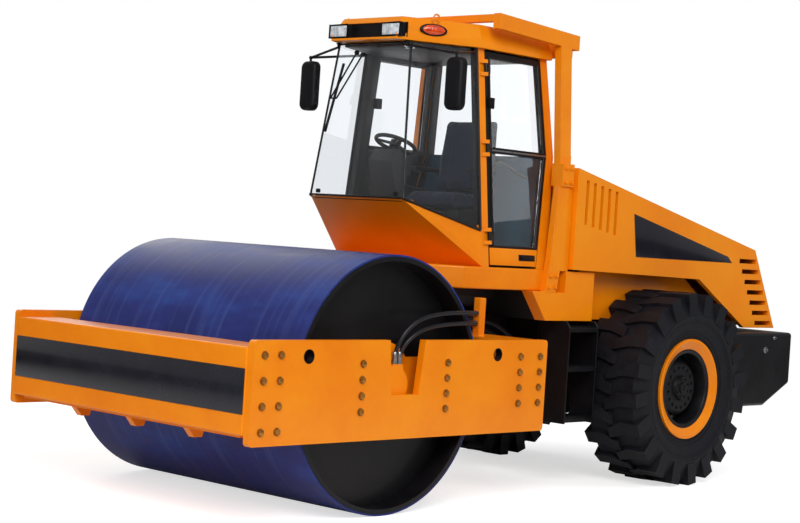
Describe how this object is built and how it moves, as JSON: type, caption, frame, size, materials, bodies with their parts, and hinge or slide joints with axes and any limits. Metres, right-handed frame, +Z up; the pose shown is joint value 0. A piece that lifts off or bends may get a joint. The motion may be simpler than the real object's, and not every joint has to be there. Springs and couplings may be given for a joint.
{
  "type": "smooth-drum road roller",
  "caption": "Road roller: smooth drum in a plate frame, hinged at mid-length to a rear frame with glazed cab, roll-over frame, louvred engine hood and lugged tyres.",
  "frame": {"origin": "on the floor under the middle of the machine", "axes": "+X forward to the drum, +Y to the machine's left, +Z up"},
  "size_m": [6.13, 2.312, 3.2598],
  "materials": {
    "orange_paint": "gloss enamel on steel plate",
    "orange_panel": "gloss paint on moulded panels",
    "drum_paint": "dark blue paint on rolled steel",
    "black_paint": "semi-gloss black enamel",
    "tyre_rubber": "moulded rubber",
    "cab_glass": "tinted safety glass",
    "engine_casting": "cast",
    "black_plastic": "moulded, matt",
    "seat_cloth": "woven seat cloth",
    "lamp_lens": "clear lens",
    "hose_rubber": "smooth hose cover",
    "cylinder_paint": "black enamel",
    "chrome_rod": "hard chrome"
  },
  "bodies": {
    "rear_frame": {"rear_chassis": "black_paint", "counterweight": "black_paint", "engine_block": "engine_casting", "rear_axle": "black_paint", "tank_housing": "orange_panel", "steps_left": "black_paint", "steps_right": "black_paint", "chassis_neck": "black_paint", "centre_joint": "black_paint", "cab_floor": "orange_paint", "cab_pillars": "orange_paint", "cab_front_panel": "orange_paint", "windscreen": "cab_glass", "corner_glass_left": "cab_glass", "corner_glass_right": "cab_glass", "cab_rear_wall": "orange_paint", "rear_glass": "cab_glass", "cab_roof": "orange_panel", "work_lamps": "lamp_lens", "seat_base": "black_plastic", "seat_cushion": "seat_cloth", "seat_back": "seat_cloth", "steering_console": "black_plastic", "mirror_left": "black_plastic", "mirror_right": "black_plastic", "rops_frame": "orange_paint", "hood_posts": "black_paint", "joint_hose_upper": "hose_rubber", "joint_hose_lower": "hose_rubber"},
    "front_frame": {"side_plate_left": "orange_paint", "side_plate_right": "orange_paint", "front_beam": "orange_paint", "rear_beam": "orange_paint", "yoke": "orange_paint", "drum_mount_left": "orange_paint", "drum_mount_right": "orange_paint", "front_scraper": "black_paint", "rear_scraper": "black_paint", "motor_hose_upper": "hose_rubber", "motor_hose_lower": "hose_rubber"},
    "drum": {"drum_shell": "drum_paint", "drum_heads": "drum_paint"},
    "wheel_left": {"tyre_left": "tyre_rubber", "rim_left": "orange_paint", "hub_left": "black_paint"},
    "wheel_right": {"tyre_right": "tyre_rubber", "rim_right": "orange_paint", "hub_right": "black_paint"},
    "door_left": {"door_left": "black_paint", "door_glass_left": "cab_glass"},
    "door_right": {"door_right": "black_paint", "door_glass_right": "cab_glass"},
    "hood": {"hood": "orange_panel"},
    "steering_wheel": {"steering_wheel": "black_plastic"},
    "steer_barrel_left": {"steer_barrel_left": "cylinder_paint"},
    "steer_rod_left": {"steer_rod_left": "chrome_rod"},
    "steer_barrel_right": {"steer_barrel_right": "cylinder_paint"},
    "steer_rod_right": {"steer_rod_right": "chrome_rod"}
  },
  "joints": [
    {"name": "steer", "type": "hinge", "parent": "rear_frame", "child": "front_frame", "pos_m": [0.245, 0, 0.8], "axis": [0, 0, 1], "range_deg": [-35, 35], "deforming": ["joint_hose_upper", "joint_hose_lower"]},
    {"name": "drum_roll", "type": "hinge", "parent": "front_frame", "child": "drum", "pos_m": [1.845, 0, 0.8], "axis": [0, 1, 0], "continuous": true},
    {"name": "wheel_left_roll", "type": "hinge", "parent": "rear_frame", "child": "wheel_left", "pos_m": [-1.355, 0.865, 0.715], "axis": [0, 1, 0], "continuous": true},
    {"name": "wheel_right_roll", "type": "hinge", "parent": "rear_frame", "child": "wheel_right", "pos_m": [-1.355, -0.865, 0.715], "axis": [0, 1, 0], "continuous": true},
    {"name": "door_left_hinge", "type": "hinge", "parent": "rear_frame", "child": "door_left", "pos_m": [0.555, 0.708, 1.54], "axis": [0, 0.1108, -0.9938], "range_deg": [0, 85]},
    {"name": "door_right_hinge", "type": "hinge", "parent": "rear_frame", "child": "door_right", "pos_m": [0.555, -0.708, 1.54], "axis": [0, 0.1108, 0.9938], "range_deg": [0, 85]},
    {"name": "hood_hinge", "type": "hinge", "parent": "rear_frame", "child": "hood", "pos_m": [-0.218, 0, 2.268], "axis": [0, 1, 0], "range_deg": [0, 50]},
    {"name": "steering_wheel_turn", "type": "hinge", "parent": "rear_frame", "child": "steering_wheel", "pos_m": [0.815, 0, 2.345], "axis": [-0.3746, 0, 0.9272], "continuous": true},
    {"name": "barrel_left_swing", "type": "hinge", "parent": "rear_frame", "child": "steer_barrel_left", "pos_m": [-0.305, 0.26, 0.8], "axis": [0, 0, 1], "range_deg": [-15, 15]},
    {"name": "rod_left_slide", "type": "slide", "parent": "steer_barrel_left", "child": "steer_rod_left", "axis": [0.9995, -0.0308, 0], "range_m": [-0.185, 0.185]},
    {"name": "barrel_right_swing", "type": "hinge", "parent": "rear_frame", "child": "steer_barrel_right", "pos_m": [-0.305, -0.26, 0.8], "axis": [0, 0, 1], "range_deg": [-15, 15]},
    {"name": "rod_right_slide", "type": "slide", "parent": "steer_barrel_right", "child": "steer_rod_right", "axis": [0.9995, 0.0308, 0], "range_m": [-0.185, 0.185]}
  ],
  "couplings": [
    {"joint": "barrel_left_swing", "follows": "steer", "ratio": 0.127},
    {"joint": "rod_left_slide", "follows": "steer", "m_per_rad": -0.2368},
    {"joint": "barrel_right_swing", "follows": "steer", "ratio": 0.127},
    {"joint": "rod_right_slide", "follows": "steer", "m_per_rad": 0.2368}
  ]
}
